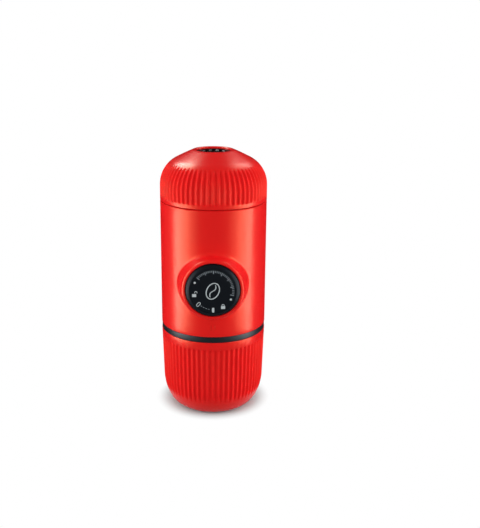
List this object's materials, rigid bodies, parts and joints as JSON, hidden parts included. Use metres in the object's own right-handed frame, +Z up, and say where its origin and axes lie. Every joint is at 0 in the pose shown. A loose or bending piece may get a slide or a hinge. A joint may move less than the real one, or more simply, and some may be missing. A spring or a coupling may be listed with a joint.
{
  "type": "handheld manual espresso maker",
  "caption": "Upright hand-pumped espresso maker: ribbed domed water tank, round body with a push piston in a flared boss, black portafilter band and a ribbed cup with a rounded base.",
  "frame": {"origin": "centre of the cup's flat foot, on the main axis, on the surface that the part stands on", "axes": "+Z up along the main axis, the piston's button faces -Y, +X to the right seen from the front"},
  "size_m": [0.062, 0.069, 0.156],
  "materials": {
    "red_shell": "satin soft-touch moulding",
    "black_plastic": "fine texture, satin",
    "face_print": "printed satin disc",
    "black_silicone": "moulded silicone",
    "stainless": "pressed and turned",
    "steel_fixings": "plain"
  },
  "bodies": {
    "main": {"body_shell": "red_shell", "tank_base": "black_plastic", "tank_seal": "black_silicone", "inlet_strainer": "stainless", "inlet_valve": "black_silicone", "inlet_duct": "black_plastic", "outlet_duct": "black_plastic", "outlet_valve": "black_silicone", "chassis": "black_plastic", "tank_base_screws": "steel_fixings", "brew_head_screws": "steel_fixings", "brew_head": "black_plastic", "brew_gasket": "black_silicone", "shower_screen": "stainless", "shower_screw": "steel_fixings", "pump_cylinder": "stainless", "lock_sleeve": "black_plastic", "guide_bush": "black_plastic", "return_spring": "steel_fixings"},
    "tank": {"water_tank": "red_shell", "vent_cap": "black_silicone", "vent_valve": "black_silicone"},
    "plunger": {"plunger": "black_plastic", "plunger_seal": "black_silicone", "button_clip": "steel_fixings"},
    "button": {"button_cap": "black_plastic", "button_face": "face_print"},
    "portafilter": {"portafilter": "black_plastic", "cup_seal": "black_silicone", "spout": "black_plastic"},
    "basket": {"filter_basket": "stainless"},
    "scoop": {"scoop": "black_plastic"},
    "cup": {"cup": "red_shell"}
  },
  "joints": [
    {"name": "tank_lift", "type": "slide", "parent": "main", "child": "tank", "axis": [0, 0, 1], "range_m": [0, 0.045]},
    {"name": "piston_stroke", "type": "slide", "parent": "main", "child": "plunger", "axis": [0, -1, 0], "range_m": [0, 0.015], "deforming": ["return_spring"]},
    {"name": "button_turn", "type": "hinge", "parent": "plunger", "child": "button", "pos_m": [0, -0.033, 0.0831], "axis": [0, -1, 0], "range_deg": [0, 45]},
    {"name": "maker_lift", "type": "slide", "parent": "cup", "child": "portafilter", "axis": [0, 0, 1], "range_m": [0, 0.055]},
    {"name": "body_lift", "type": "slide", "parent": "portafilter", "child": "main", "axis": [0, 0, 1], "range_m": [0, 0.06]},
    {"name": "basket_lift", "type": "slide", "parent": "portafilter", "child": "basket", "axis": [0, 0, 1], "range_m": [0, 0.024]},
    {"name": "scoop_lift", "type": "slide", "parent": "basket", "child": "scoop", "axis": [0, 0, 1], "range_m": [0, 0.018]}
  ],
  "couplings": [
    {"joint": "basket_lift", "follows": "body_lift", "ratio": 0.4},
    {"joint": "scoop_lift", "follows": "body_lift", "ratio": 0.3}
  ]
}
